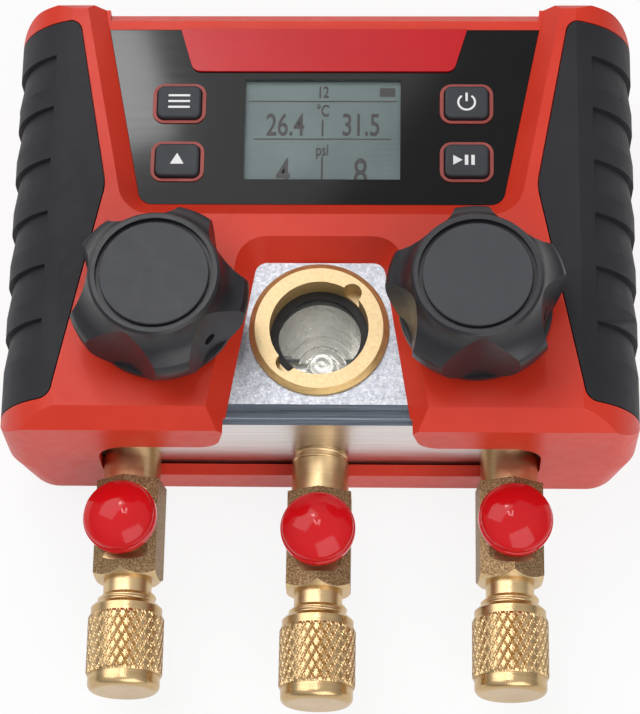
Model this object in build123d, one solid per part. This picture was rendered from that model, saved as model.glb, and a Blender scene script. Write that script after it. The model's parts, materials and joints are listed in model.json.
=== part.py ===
from build123d import *
import math
import os

# Digital two-valve refrigerant manifold gauge, lying on its back.
# X runs across the housing, Y from the hose ports to the upper edge, Z out of the front.
# The origin lies on the flat back in the middle plane, 23 mm from the lower end face.
# All sizes are in millimetres.

os.makedirs("parts", exist_ok=True)

# ---------------------------------------------------------------- driving sizes
SEAT_GAP = 0.1           # parts that are screwed or snapped together
RUN_GAP = 0.05           # radial clearance of a turning shaft
SLIDE_GAP = 0.2          # sliding fit of keys, caps and the hook
FAR = 400.0              # longer than anything on the device

# housing
HALF_WIDTH = 63.6
BOTTOM_Y = -23.0
TOP_Y = 69.0
FRONT_Z = 39.5
PARTING_Z = 13.8
WALL = 2.4
CORNER_R = 5.5
BACK_INSET = 2.0         # how far the rear shell narrows towards the back
BACK_CORNER_R = 7.5
BACK_EDGE = 1.0
SHOULDER_X = 51.5        # where the front starts to round into the side
SHOULDER_DROP = 15.3
SHOULDER_R = 17.0
BOTTOM_BEVEL = 3.8
TOP_BEVEL = 1.4
RIM_BEVEL = 2.5          # slope of the low rim over the display panel

# rubber grips
GRIP_T = 1.6
GRIP_GAP = 0.25
GRIP_TOP_Y = 64.7
GRIP_KINK_Y = 28.0
GRIP_KINK_R = 9.0
GRIP_BOTTOM_Y = -17.3
GRIP_TOP_X = 50.0
GRIP_KINK_X = 43.3
GRIP_BOTTOM_X = 52.5
GRIP_LOW_Z = 16.5
GRIP_CORNER_R = 2.5
RIB_COUNT = 6
RIB_PITCH = 11.6
RIB_FIRST_Y = 57.5
RIB_LENGTH = 7.2
RIB_DEPTH = 1.0
RIB_WIDTH = 9.0

# display panel and its keys
PANEL_DEPTH = 3.6
PANEL_T = 1.2
PANEL_TOP_Y = 64.5
PANEL_LOW_Y = 25.1
PANEL_TOP_X = 44.2
PANEL_LOW_X = 36.4
PANEL_CORNER_R = 3.0
PANEL_FLOOR_T = 1.8
WINDOW_W = 31.6
WINDOW_LOW_Y = 30.7
WINDOW_TOP_Y = 53.1
LCD_FRAME = 2.5
PLATE_TOP_X = 29.4
PLATE_LOW_X = 26.6
PLATE_LOW_Y = 54.8
PLATE_T = 0.5
PLATE_CORNER_R = 2.0
KEY_X = 29.2
KEY_ROWS = {"upper": 47.5, "lower": 34.5}
KEY_W = 8.9
KEY_H = 7.2
KEY_CORNER_R = 1.4
KEY_PROUD = 1.3
KEY_TRAVEL = 0.8
KEY_FLANGE = 0.8
KEY_FLANGE_T = 0.9
BEZEL_W = 10.9
BEZEL_H = 8.9
BEZEL_PROUD = 0.3
SWITCH_H = 1.9
SWITCH_W = 5.0
BOARD_T = 1.6
BOARD_W = 80.0
BOARD_MARGIN = 2.0
PILLAR_INSET = 3.0
PILLAR_R = 2.0

# aluminium manifold block
BLOCK_HALF_X = 48.0
BLOCK_BOTTOM_Y = -20.07
BLOCK_TOP_Y = 13.7
BLOCK_LOW_Z = 5.0
BLOCK_FRONT_Z = 34.2
BLOCK_CHAMFER = 3.2
RECESS_TOP_Y = 13.1      # edge of the opening that shows the block
RECESS_TOP_X = 12.6
RECESS_LOW_X = 18.1
RECESS_CORNER_R = 2.4
RECESS_FLARE = 3.6
GALLERY_R = 2.5
GALLERY_Z = 13.3

# pressure sensors in the back of the block
SENSOR_X = 17.0
SENSOR_R = 4.5
SENSOR_LOW_Z = 3.2
SENSOR_TOP_Z = 9.6
SENSOR_PORT_R = 1.5

# sight glass
GLASS_Y = -1.2
GLASS_FLANGE_R = 13.84
GLASS_FLANGE_T = 0.6
GLASS_RING_R = 12.7
GLASS_RING_T = 1.3
GLASS_HOLE_R = 9.81
GLASS_RING_DEPTH = 4.0
GLASS_BODY_R = 12.0
GLASS_GASKET_R = 8.2
GLASS_GASKET_T = 1.2
GLASS_LENS_T = 3.0
GLASS_CELL_R = 8.6
GLASS_NOTCH_R = 1.95
GLASS_NOTCH_ANGLES = (49, 229)

# valves
VALVE_X = 30.7
VALVE_Y = 0.5
VALVE_BORE_R = 5.0
VALVE_SEAT_Z = 17.0
VALVE_DISC_H = 4.0
STEM_R = 3.0
STEM_IN_DISC = 2.0
STEM_IN_DISC_R = 1.8
GLAND_LOW_Z = 27.0
GLAND_HEX = 12.0
GLAND_HEX_T = 2.4
GLAND_COLLAR_R = 4.6
GLAND_TOP_Z = 40.7

# knobs
KNOB_BASE_Z = 41.5
KNOB_H = 17.8
KNOB_TIP_R = 17.6
KNOB_TIP_H = 8.5
KNOB_BASE_R = 15.0
KNOB_BASE_H = 1.2
KNOB_RING_R = 12.3
KNOB_CAP_R = 10.5
KNOB_GROOVE_R = 11.3
KNOB_GROOVE_DEPTH = 1.2
KNOB_CAP_T = 1.1
KNOB_LOBES = 5
HOLLOW_R = 12.5
HOLLOW_TILT = 5.0
HOLLOW_TOP_H = 15.0      # height at which a hollow keeps its margin to the ring
HOLLOW_MARGIN = 0.7
KNOB_LEFT_ANGLE = 318.0  # direction of the hollow with the grub screw
KNOB_RIGHT_ANGLE = 345.0
GRUB_R = 1.3
GRUB_LENGTH = 4.0
GRUB_H = 6.5

# ports: 1/4 inch flare fittings
PORT_PITCH = 38.0
PORT_Z = 13.3
CENTRE_STANDOFF = 2.2    # the middle fitting is screwed in less deep
PORT_ROLLS = (8.0, 0.0, -6.0)   # how far each fitting is turned about its own axis
TUBE_R = 5.75
TUBE_THREAD_R = 5.25     # thread in the block
TUBE_IN_BLOCK = 8.0
TUBE_LENGTH = 6.75       # from the block to the hexagon
HEX_FLATS = 12.7
HEX_LENGTH = 20.2
HEX_EDGE = 1.1
NECK_R = 4.8
NECK_LENGTH = 3.0
THREAD_R = 5.55
FLARE_SEAT = 2.2         # 45 degree flare cone
PORT_BORE_R = 2.4
NOTCH_R = 6.2
NOTCH_RISE = 6.3         # centre of the notches in the front shell, above the port axis
BOSS_CORNER_X = 20.2     # where the wall between the ports turns up to the recess
BOSS_CORNER_R = 4.5
LEDGE_Z = 8.7            # edge of the rear shell between the ports
PORT_NAMES = ("left", "centre", "right")

# branch stub on each fitting and its dust cap
STUB_Y = 9.4             # from the upper end of the hexagon to the stub axis
SPOTFACE_R = 8.2
SPOTFACE_Z = 4.6
STUB_R = 5.55
STUB_TOP_Z = 10.4
CORE_LOW_Z = 2.6         # lower end of the depressor core in the stub
DUST_CAP_R = 7.1
DUST_CAP_BASE_R = 7.4
DUST_CAP_LOW_Z = 7.9
DUST_CAP_TOP_Z = 13.6
DUST_CAP_RIM = 1.2
DUST_CAP_ROUND = 1.6

# knurled hose caps
CAP_GAP_Y = 5.0          # from the hexagon to the cap
CAP_LENGTH = 17.6
CAP_RING_R = 7.1
CAP_RING_LENGTH = 2.4
CAP_RING_CHAMFER = 0.8
CAP_KNURL_R = 7.3        # root of the knurl
CAP_KNURL_LENGTH = 12.1
CAP_END_R = 7.15
CAP_END_ROUND = 1.4
CAP_FLOOR_T = 1.8
CAP_SEAL_T = 1.6

# battery bay and hook in the rear shell
CELL_R = 7.1
CELL_LENGTH = 50.4
CELL_TIP_R = 2.7
CELL_TIP = 1.2
CELL_ROWS_Y = (22.7, 37.5)
CELL_GAP = 0.4
CELL_SPLIT = 6.0         # rib between the left and the right cells
CELL_Z = 10.4
RIB_TOP_Z = 13.2         # wall height of the battery bay
CONTACT_T = 0.6
BAY_WALL = 1.4
DOOR_T = 2.0
DOOR_SCREW_HEAD_T = 1.1
DOOR_MARGIN = 1.2
DOOR_SCREW_TIP_Z = 11.0
HOOK_T = 3.0
HOOK_Z = 0.4
HOOK_PIVOT_Y = 57.2
HOOK_LENGTH = 28.0       # pivot to the centre of the crook
HOOK_WIDTH = 6.0
HOOK_EYE_R = 5.2
HOOK_HOLE_R = 1.8
HOOK_INNER_R = 4.8
HOOK_SINK = 1.1          # counterbore for the head of the pivot screw
HOOK_SCREW_R = 0.9
HOOK_RECESS_DEPTH = 3.9
HOOK_RECESS_GAP = 0.8

# fasteners
SCREW_R = 1.4
SCREW_HEAD_R = 2.6
SCREW_HEAD_T = 1.8
BOSS_R = 3.4
SCREW_TIP_Z = 26.0
SCREW_POSITIONS = ((-54.5, -13.5), (54.5, -13.5), (-54.0, 59.5), (54.0, 59.5))
BLOCK_SCREW_X = 43.0
BLOCK_SCREW_Y = 4.0
SCREW_IN_BLOCK = 7.0

# ---------------------------------------------------------------- derived sizes
PANEL_Z = FRONT_Z - PANEL_DEPTH
PANEL_BACK_Z = PANEL_Z - PANEL_T
PANEL_FLOOR_Z = PANEL_BACK_Z - PANEL_FLOOR_T
WINDOW_Y = (WINDOW_LOW_Y + WINDOW_TOP_Y) / 2
WINDOW_H = WINDOW_TOP_Y - WINDOW_LOW_Y
KEY_FLANGE_TOP_Z = PANEL_FLOOR_Z - SEAT_GAP
KEY_LOW_Z = KEY_FLANGE_TOP_Z - KEY_FLANGE_T
SWITCH_TOP_Z = KEY_LOW_Z - KEY_TRAVEL - SEAT_GAP
BOARD_TOP_Z = SWITCH_TOP_Z - SWITCH_H
CAVITY_FRONT_Z = FRONT_Z - WALL
HOOK_DEPTH_Z = HOOK_RECESS_DEPTH + BAY_WALL
HOOK_OUTER_R = HOOK_INNER_R + HOOK_WIDTH * 0.75
WINDOW_TOP_Z = PORT_Z + NOTCH_RISE + NOTCH_R
HEX_END = TUBE_LENGTH + HEX_LENGTH
STUB_ALONG = TUBE_LENGTH + STUB_Y
CAP_START = HEX_END + CAP_GAP_Y
CAP_END = CAP_START + CAP_LENGTH
CAP_SEAL_END = CAP_END - CAP_FLOOR_T - SEAT_GAP
THREAD_START = HEX_END + NECK_LENGTH
THREAD_END = CAP_SEAL_END - CAP_SEAL_T - SEAT_GAP
STEM_TOP_H = KNOB_H * 0.6
DISC_TOP_Z = VALVE_SEAT_Z + SEAT_GAP + VALVE_DISC_H


def export(solid, name):
    """Write one sub-part to its own file."""
    export_step(solid, f"parts/{name}.step")


def between_z(face, low, high):
    """Extrude a sketch of the XY plane from one height to another."""
    return extrude(Pos(0, 0, low) * face, amount=high - low)


def symmetric_polygon(points):
    """A polygon from the points of its right half, listed from one end of the middle line."""
    left = [(-x, y) for x, y in reversed(points)]
    return make_face(Polyline(points + left, close=True))


# ---------------------------------------------------------------- housing forms
def plan_outline(half_width, radius, top_y):
    """Rounded rectangle of the housing as seen from the front."""
    height = top_y - BOTTOM_Y
    return Pos(0, BOTTOM_Y + height / 2) * RectangleRounded(2 * half_width, height, radius)


def shoulder_section(inset):
    """Cross-section of the front shell: flat front and large rounded sides, in the XZ plane."""
    side = HALF_WIDTH - inset
    drop_z = FRONT_Z - SHOULDER_DROP
    arc_r = SHOULDER_R - inset
    right = (side, drop_z)
    front = (SHOULDER_X, FRONT_Z - inset)
    outline = Line((side, 0), right) + RadiusArc(right, front, -arc_r)
    outline += Line(front, (0, FRONT_Z - inset))
    outline += mirror(outline, about=Plane.YZ)
    outline += Line((-side, 0), (side, 0))
    return Plane.XZ * make_face(outline)


def end_section(inset):
    """Side view of the front shell with its bevels at both ends, in the YZ plane."""
    low_y = BOTTOM_Y + inset
    high_y = TOP_Y - inset
    front = FRONT_Z - inset
    points = [
        (low_y, 0), (low_y, front - BOTTOM_BEVEL), (low_y + BOTTOM_BEVEL, front),
        (high_y - TOP_BEVEL, front), (high_y, front - TOP_BEVEL), (high_y, 0),
    ]
    return Plane.YZ * make_face(Polyline(points, close=True))


def front_form(inset):
    """Outer form of the front half of the housing, moved inwards by inset."""
    plan = plan_outline(HALF_WIDTH, CORNER_R, TOP_Y)
    if inset:
        plan = offset(plan, -inset)
    form = between_z(plan, PARTING_Z, FRONT_Z)
    form &= extrude(shoulder_section(inset), amount=FAR / 2, both=True)
    form &= extrude(end_section(inset), amount=FAR / 2, both=True)
    return form


def rear_form(inset, floor_z):
    """Form of the rear half: it narrows towards the back and has larger corners there."""
    parting = plan_outline(HALF_WIDTH, CORNER_R, TOP_Y)
    back = plan_outline(HALF_WIDTH - BACK_INSET, BACK_CORNER_R, TOP_Y)
    if inset:
        parting = offset(parting, -inset)
        back = offset(back, -inset)
        return loft([Pos(0, 0, floor_z) * back, Pos(0, 0, PARTING_Z) * parting], ruled=True)
    edge_z = floor_z + BACK_EDGE
    wide = Pos(0, 0, edge_z) * back
    narrow = Pos(0, 0, floor_z) * offset(back, -BACK_EDGE)
    form = loft([wide, Pos(0, 0, PARTING_Z) * parting], ruled=True)
    return form + loft([narrow, wide], ruled=True)


# ---------------------------------------------------------------- front shell
def panel_outline(extra, top_y):
    """Outline of the display panel, widened by extra, with rounded lower corners."""
    slope = (PANEL_TOP_X - PANEL_LOW_X) / (PANEL_TOP_Y - PANEL_LOW_Y)
    top_x = PANEL_LOW_X + slope * (top_y - PANEL_LOW_Y)
    low = (PANEL_LOW_X, PANEL_LOW_Y)
    face = symmetric_polygon([low, (top_x, top_y)])
    corners = face.vertices().sort_by(Axis.Y)[:2]
    face = fillet(corners, PANEL_CORNER_R)
    return offset(face, extra) if extra else face


def panel_recess():
    """Space in front of the display panel, with walls at 45 degrees, open at the upper edge."""
    bevel = RIM_BEVEL
    space = extrude(
        Pos(0, 0, PANEL_Z) * panel_outline(0, TOP_Y + WALL), amount=2 * PANEL_DEPTH, taper=-45
    )
    rim = [(TOP_Y - bevel, PANEL_Z), (TOP_Y + bevel, PANEL_Z), (TOP_Y + bevel, PANEL_Z - 2 * bevel)]
    wedge = extrude(Plane.YZ * make_face(Polyline(rim, close=True)), amount=PANEL_TOP_X, both=True)
    return space + wedge


def block_opening(extra):
    """Flared opening in the front that shows the manifold block."""
    low_y = BOTTOM_Y - 3 * WALL
    slope = (RECESS_LOW_X - RECESS_TOP_X) / (RECESS_TOP_Y - BLOCK_BOTTOM_Y)
    low_x = RECESS_TOP_X + slope * (RECESS_TOP_Y - low_y)
    face = symmetric_polygon([(low_x, low_y), (RECESS_TOP_X, RECESS_TOP_Y)])
    face = fillet(face.vertices().sort_by(Axis.Y)[2:], RECESS_CORNER_R)
    if extra:
        face = offset(face, extra)
    depth = FRONT_Z - BLOCK_FRONT_Z
    flare = math.degrees(math.atan(RECESS_FLARE / depth))
    return extrude(Pos(0, 0, BLOCK_FRONT_Z) * face, amount=depth + WALL, taper=-flare)


def port_window():
    """Opening in the lower end wall of the front shell, round at the outer ports."""
    side_x = PORT_PITCH + NOTCH_R
    arc_z = PORT_Z + NOTCH_RISE
    corner = (BOSS_CORNER_X, WINDOW_TOP_Z)
    front = (RECESS_LOW_X - 1, FRONT_Z + WALL)
    outline = Line((side_x, 0), (side_x, arc_z))
    outline += RadiusArc((side_x, arc_z), (PORT_PITCH, WINDOW_TOP_Z), -NOTCH_R)
    outline += Line((PORT_PITCH, WINDOW_TOP_Z), corner) + Line(corner, front)
    outline += Line(front, (0, front[1])) + Line((side_x, 0), (0, 0))
    right = make_face(outline + Line((0, 0), (0, front[1])))
    bend = [v for v in right.vertices() if abs(v.X - BOSS_CORNER_X) < SEAT_GAP]
    right = fillet(bend, BOSS_CORNER_R)
    return right + mirror(right, about=Plane.YZ)


def window_cut(low_z):
    """Opening between the ports as a solid that only cuts the lower end wall."""
    depth = BLOCK_BOTTOM_Y - BOTTOM_Y + SEAT_GAP
    start = Plane.XZ.offset(-BLOCK_BOTTOM_Y - SEAT_GAP)
    solid = extrude(start * port_window(), amount=depth + WALL)
    return solid & between_z(Rectangle(FAR, FAR), low_z, FAR)


def screw_post(x, y, low_z, high_z, radius):
    """Round post for a housing screw."""
    return Pos(x, y, (low_z + high_z) / 2) * Cylinder(radius, high_z - low_z)


def make_front_shell():
    shell = front_form(0) - front_form(WALL)
    surround = Pos(0, 0, PANEL_FLOOR_Z) * panel_outline(WALL, TOP_Y)
    backing = extrude(surround, amount=FRONT_Z - PANEL_FLOOR_Z, taper=-45)
    collar = block_opening(WALL) - window_cut(0)
    shell += (backing + collar) & front_form(0)
    for x, y in SCREW_POSITIONS:
        shell += screw_post(x, y, PARTING_Z, CAVITY_FRONT_Z, BOSS_R) & front_form(0)
    shell -= panel_recess()
    shell -= between_z(panel_outline(0, PANEL_TOP_Y), PANEL_BACK_Z, PANEL_Z)
    window = Pos(0, WINDOW_Y) * Rectangle(WINDOW_W + 2 * LCD_FRAME, WINDOW_H + 2 * LCD_FRAME)
    shell -= between_z(window, PANEL_FLOOR_Z - WALL, PANEL_Z)
    for x, y in key_places():
        hole = Pos(x, y) * key_shape(SLIDE_GAP, KEY_CORNER_R + SLIDE_GAP)
        shell -= between_z(hole, PANEL_FLOOR_Z - WALL, PANEL_Z)
    shell -= block_opening(0)
    shell -= window_cut(0)
    for side in (-1, 1):
        shell -= Pos(side * VALVE_X, VALVE_Y, FRONT_Z) * Cylinder(GLAND_COLLAR_R + SLIDE_GAP, 4 * WALL)
        shell -= grip_band(side, GRIP_GAP, GRIP_T + SEAT_GAP)
    for x, y in SCREW_POSITIONS:
        shell -= screw_post(x, y, PARTING_Z, SCREW_TIP_Z + 1, SCREW_R)
    return shell


# ---------------------------------------------------------------- grips
def grip_outline(side, extra):
    """Outline of a grip as seen from the front, open to the outside."""
    outside = HALF_WIDTH + WALL
    points = [
        (outside, GRIP_TOP_Y), (GRIP_TOP_X, GRIP_TOP_Y), (GRIP_KINK_X, GRIP_KINK_Y),
        (GRIP_BOTTOM_X, GRIP_BOTTOM_Y), (outside, GRIP_BOTTOM_Y),
    ]
    face = make_face(Polyline(points, close=True))
    inner = face.vertices().filter_by_position(Axis.X, 0, outside - 1).sort_by(Axis.Y)
    low, kink, high = inner
    face = fillet([low, high], GRIP_CORNER_R)
    kink = face.vertices().sort_by_distance((kink.X, kink.Y, 0))[0]
    face = fillet(kink, GRIP_KINK_R)
    if extra:
        face = offset(face, extra)
    return face if side > 0 else mirror(face, about=Plane.YZ)


def grip_band(side, extra, depth):
    """Layer of the housing's skin that a grip covers."""
    column = between_z(grip_outline(side, extra), GRIP_LOW_Z - extra, FRONT_Z + WALL)
    return column & (front_form(0) - front_form(depth))


def rib_cut(side):
    """Finger rib: a step at its upper end that runs out to nothing below."""
    deep = Pos(0, RIB_FIRST_Y) * shoulder_section(RIB_DEPTH)
    flush = Pos(0, RIB_FIRST_Y - RIB_LENGTH) * shoulder_section(0)
    kept = loft([flush, deep], ruled=True)
    inner_x = HALF_WIDTH - RIB_WIDTH
    box = Pos(side * (inner_x + FAR / 2), RIB_FIRST_Y - RIB_LENGTH / 2, 0) * Box(FAR, RIB_LENGTH, FAR)
    return box - kept


def make_grip(side):
    grip = grip_band(side, 0, GRIP_T)
    cut = rib_cut(side)
    for index in range(RIB_COUNT):
        grip -= Pos(0, -index * RIB_PITCH, 0) * cut
    return grip


# ---------------------------------------------------------------- rear shell
def cell_places():
    """Centres of the four cells."""
    half = (CELL_SPLIT + CELL_LENGTH) / 2 + CELL_GAP
    return [(side * half, y) for y in CELL_ROWS_Y for side in (-1, 1)]


def bay_rib():
    """Rib between the left and right cells with the post for the door's screw."""
    x, y = door_screw_place()
    length = CELL_ROWS_Y[1] - CELL_ROWS_Y[0] + 2 * (CELL_R + CELL_GAP)
    rib = between_z(Pos(x, y) * Rectangle(BAY_WALL, length), DOOR_T, RIB_TOP_Z)
    rib += screw_post(x, y, DOOR_T, RIB_TOP_Z, CELL_SPLIT / 2)
    return rib - screw_post(x, y, 0, DOOR_SCREW_TIP_Z + 0.5, SCREW_R)


def bay_outline(extra):
    """Plan of the battery bay."""
    half_x = CELL_SPLIT / 2 + CELL_LENGTH + 2 * CELL_GAP + CONTACT_T
    low_y = CELL_ROWS_Y[0] - CELL_R - CELL_GAP
    high_y = CELL_ROWS_Y[1] + CELL_R + CELL_GAP
    return Pos(0, (low_y + high_y) / 2) * Rectangle(
        2 * (half_x + extra), high_y - low_y + 2 * extra
    )


def hook_outline(extra):
    """Flat hook with its pivot at the origin and its crook towards -X."""
    shank = Pos(-HOOK_LENGTH / 2, 0) * Rectangle(HOOK_LENGTH - HOOK_INNER_R, HOOK_WIDTH)
    crook = Pos(-HOOK_LENGTH, 0) * Circle(HOOK_OUTER_R)
    face = Circle(HOOK_EYE_R) + shank + crook
    if extra:
        return offset(face, extra)
    face -= Pos(-HOOK_LENGTH, 0) * Circle(HOOK_INNER_R)
    mouth_w = HOOK_INNER_R * 1.1
    mouth = Pos(mouth_w / 2 - HOOK_LENGTH, -HOOK_OUTER_R / 2) * Rectangle(mouth_w, HOOK_OUTER_R)
    return face - mouth - Circle(HOOK_HOLE_R + RUN_GAP)


def hook_recess():
    """Pocket in the back for the folded hook, open towards the upper edge."""
    reach = HOOK_OUTER_R + HOOK_RECESS_GAP
    left = -HOOK_LENGTH - reach
    right = HOOK_EYE_R + HOOK_RECESS_GAP
    height = TOP_Y + WALL - HOOK_PIVOT_Y + reach
    centre = Pos((left + right) / 2, HOOK_PIVOT_Y - reach + height / 2)
    return centre * Rectangle(right - left, height)


def make_rear_shell():
    outer = rear_form(0, 0)
    shell = outer - rear_form(WALL, WALL)
    shell += between_z(bay_outline(BAY_WALL), 0, RIB_TOP_Z) & outer
    recess_wall = offset(hook_recess(), BAY_WALL)
    shell += between_z(recess_wall, 0, HOOK_DEPTH_Z) & outer
    for x, y in SCREW_POSITIONS:
        shell += screw_post(x, y, 0, PARTING_Z, BOSS_R) & outer
    for x in (-BLOCK_SCREW_X, BLOCK_SCREW_X):
        shell += screw_post(x, BLOCK_SCREW_Y, 0, BLOCK_LOW_Z, BOSS_R)
    shell -= between_z(bay_outline(0), DOOR_T, FAR)
    shell -= between_z(bay_outline(DOOR_MARGIN), -1, DOOR_T)
    shell += bay_rib()
    shell -= between_z(hook_recess(), -1, HOOK_RECESS_DEPTH)
    post_low_z = HOOK_Z + HOOK_SINK + RUN_GAP
    shell += screw_post(0, HOOK_PIVOT_Y, post_low_z, HOOK_RECESS_DEPTH, HOOK_HOLE_R)
    shell -= screw_post(0, HOOK_PIVOT_Y, 0, HOOK_DEPTH_Z - 0.5, HOOK_SCREW_R)
    for index, name in enumerate(PORT_NAMES):
        notch = Cylinder(NOTCH_R, FAR, rotation=(90, 0, 0))
        notch &= Pos(0, BOTTOM_Y, 0) * Box(FAR, 4 * WALL, FAR)
        shell -= Pos((index - 1) * PORT_PITCH, 0, PORT_Z) * notch
    ledge = Pos(0, BOTTOM_Y, LEDGE_Z + FAR / 2) * Box(2 * PORT_PITCH, 4 * WALL, FAR)
    shell -= ledge
    for x, y in SCREW_POSITIONS:
        shell -= screw_post(x, y, -1, PARTING_Z + 1, SCREW_R + SEAT_GAP)
        shell -= screw_post(x, y, -1, SCREW_HEAD_T + 0.4, SCREW_HEAD_R + SEAT_GAP)
    for x in (-BLOCK_SCREW_X, BLOCK_SCREW_X):
        shell -= screw_post(x, BLOCK_SCREW_Y, -1, BLOCK_LOW_Z + 1, SCREW_R + SEAT_GAP)
        shell -= screw_post(x, BLOCK_SCREW_Y, -1, SCREW_HEAD_T + 0.4, SCREW_HEAD_R + SEAT_GAP)
    return shell


# ---------------------------------------------------------------- display and keys
def key_places():
    """Centres of the four keys."""
    return [(side * KEY_X, y) for y in KEY_ROWS.values() for side in (-1, 1)]


def key_shape(extra, corner):
    return RectangleRounded(KEY_W + 2 * extra, KEY_H + 2 * extra, corner)


def make_key(x, y):
    """Rubber key with a retaining flange below and a softly domed top."""
    top_z = PANEL_Z + KEY_PROUD
    body = between_z(key_shape(0, KEY_CORNER_R), KEY_LOW_Z, top_z)
    body = fillet(body.faces().sort_by(Axis.Z)[-1].edges(), KEY_PROUD * 0.4)
    body += between_z(key_shape(KEY_FLANGE, KEY_CORNER_R), KEY_LOW_Z, KEY_FLANGE_TOP_Z)
    return Pos(x, y, 0) * body


def make_panel():
    panel = between_z(panel_outline(-SEAT_GAP, PANEL_TOP_Y), PANEL_BACK_Z, PANEL_Z)
    window = Pos(0, WINDOW_Y) * Rectangle(WINDOW_W, WINDOW_H)
    panel -= between_z(window, 0, FRONT_Z)
    for x, y in key_places():
        hole = RectangleRounded(BEZEL_W, BEZEL_H, KEY_CORNER_R + 1)
        panel -= between_z(Pos(x, y) * hole, 0, FRONT_Z)
    return panel


def make_key_bezels():
    """Raised frames round the keys."""
    ring = RectangleRounded(BEZEL_W - SEAT_GAP, BEZEL_H - SEAT_GAP, KEY_CORNER_R + 1)
    ring -= key_shape(SLIDE_GAP, KEY_CORNER_R + SLIDE_GAP)
    solid = between_z(ring, PANEL_BACK_Z, PANEL_Z + BEZEL_PROUD)
    return Compound([Pos(x, y, 0) * solid for x, y in key_places()])


def make_name_plate():
    """Bare plate over the display."""
    face = symmetric_polygon([(PLATE_LOW_X, PLATE_LOW_Y), (PLATE_TOP_X, PANEL_TOP_Y - SEAT_GAP)])
    face = fillet(face.vertices().sort_by(Axis.Y)[:2], PLATE_CORNER_R)
    return between_z(face, PANEL_Z, PANEL_Z + PLATE_T)


def make_window_pane():
    face = Pos(0, WINDOW_Y) * Rectangle(WINDOW_W - SEAT_GAP, WINDOW_H - SEAT_GAP)
    return between_z(face, PANEL_BACK_Z, PANEL_Z)


def make_lcd():
    size = 2 * LCD_FRAME - 2 * SLIDE_GAP
    face = Pos(0, WINDOW_Y) * Rectangle(WINDOW_W + size, WINDOW_H + size)
    return between_z(face, BOARD_TOP_Z, PANEL_BACK_Z)


def make_board():
    low_y = BLOCK_TOP_Y + BOARD_MARGIN
    high_y = TOP_Y - WALL - BOARD_MARGIN
    face = Pos(0, (low_y + high_y) / 2) * Rectangle(BOARD_W, high_y - low_y)
    board = between_z(face, BOARD_TOP_Z - BOARD_T, BOARD_TOP_Z)
    for side in (-1, 1):
        pillar_x = side * (BOARD_W / 2 - PILLAR_INSET)
        board += screw_post(pillar_x, high_y - PILLAR_INSET, BOARD_TOP_Z, PANEL_FLOOR_Z, PILLAR_R)
    return board


def make_switches():
    low = Box(SWITCH_W, SWITCH_W, SWITCH_H * 0.7, align=(Align.CENTER, Align.CENTER, Align.MIN))
    button = Pos(0, 0, SWITCH_H / 2) * Cylinder(SWITCH_W * 0.35, SWITCH_H)
    switch = Pos(0, 0, BOARD_TOP_Z) * (low + button)
    return Compound([Pos(x, y, 0) * switch for x, y in key_places()])


# ---------------------------------------------------------------- manifold block
def port_axis(x, depth, radius):
    """Bore along a port axis from the lower face of the block inwards."""
    centre_y = BLOCK_BOTTOM_Y + depth / 2
    return Pos(x, centre_y, PORT_Z) * Cylinder(radius, depth, rotation=(90, 0, 0))


def make_block():
    height = BLOCK_TOP_Y - BLOCK_BOTTOM_Y
    block = between_z(
        Pos(0, (BLOCK_TOP_Y + BLOCK_BOTTOM_Y) / 2) * Rectangle(2 * BLOCK_HALF_X, height),
        BLOCK_LOW_Z, BLOCK_FRONT_Z,
    )
    edge = block.edges().filter_by(Axis.X).group_by(Axis.Z)[-1].sort_by(Axis.Y)[0]
    block = chamfer(edge, BLOCK_CHAMFER)
    for x in (-VALVE_X, VALVE_X):
        block -= screw_post(x, VALVE_Y, VALVE_SEAT_Z, FAR, VALVE_BORE_R)
        block -= screw_post(x, VALVE_Y, GALLERY_Z, VALVE_SEAT_Z + 1, GALLERY_R)
    pocket_z = BLOCK_FRONT_Z - GLASS_RING_DEPTH
    glass_z = pocket_z - GLASS_GASKET_T - GLASS_LENS_T
    block -= screw_post(0, GLASS_Y, glass_z, FAR, GLASS_BODY_R)
    block -= screw_post(0, GLASS_Y, GALLERY_Z, FAR, GLASS_CELL_R)
    for step in range(3):
        radius = GLASS_CELL_R * (0.8 - 0.2 * step)
        block -= screw_post(0, GLASS_Y, GALLERY_Z - step - 1, GALLERY_Z + 1, radius)
    bump = screw_post(0, GLASS_Y, GALLERY_Z - 4, GALLERY_Z + 1.5, GALLERY_R)
    gallery = Pos(0, GLASS_Y, GALLERY_Z) * Cylinder(GALLERY_R, 2 * VALVE_X, rotation=(0, 90, 0))
    block = block - gallery + bump
    for index in range(3):
        x = (index - 1) * PORT_PITCH
        gallery_y = GLASS_Y - BLOCK_BOTTOM_Y - (GLASS_CELL_R / 2 if index == 1 else 0)
        block -= port_axis(x, TUBE_IN_BLOCK + SEAT_GAP, TUBE_THREAD_R + RUN_GAP)
        block -= port_axis(x, gallery_y, PORT_BORE_R)
    for x in (-SENSOR_X, SENSOR_X):
        block -= screw_post(x, GLASS_Y, 0, SENSOR_TOP_Z + SEAT_GAP, SENSOR_R + SEAT_GAP)
        block -= screw_post(x, GLASS_Y, SENSOR_TOP_Z, GALLERY_Z, SENSOR_PORT_R)
    for x in (-BLOCK_SCREW_X, BLOCK_SCREW_X):
        block -= screw_post(x, BLOCK_SCREW_Y, 0, BLOCK_LOW_Z + SCREW_IN_BLOCK, SCREW_R)
    return block


def make_sensors():
    """Pressure sensors that close their pockets in the back of the block."""
    body = screw_post(0, 0, SENSOR_LOW_Z, SENSOR_TOP_Z, SENSOR_R)
    body = chamfer(body.edges().sort_by(Axis.Z)[0], SEAT_GAP)
    body -= screw_post(0, 0, SENSOR_TOP_Z - 1, SENSOR_TOP_Z, SENSOR_PORT_R)
    return Compound([Pos(x, GLASS_Y, 0) * body for x in (-SENSOR_X, SENSOR_X)])


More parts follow.
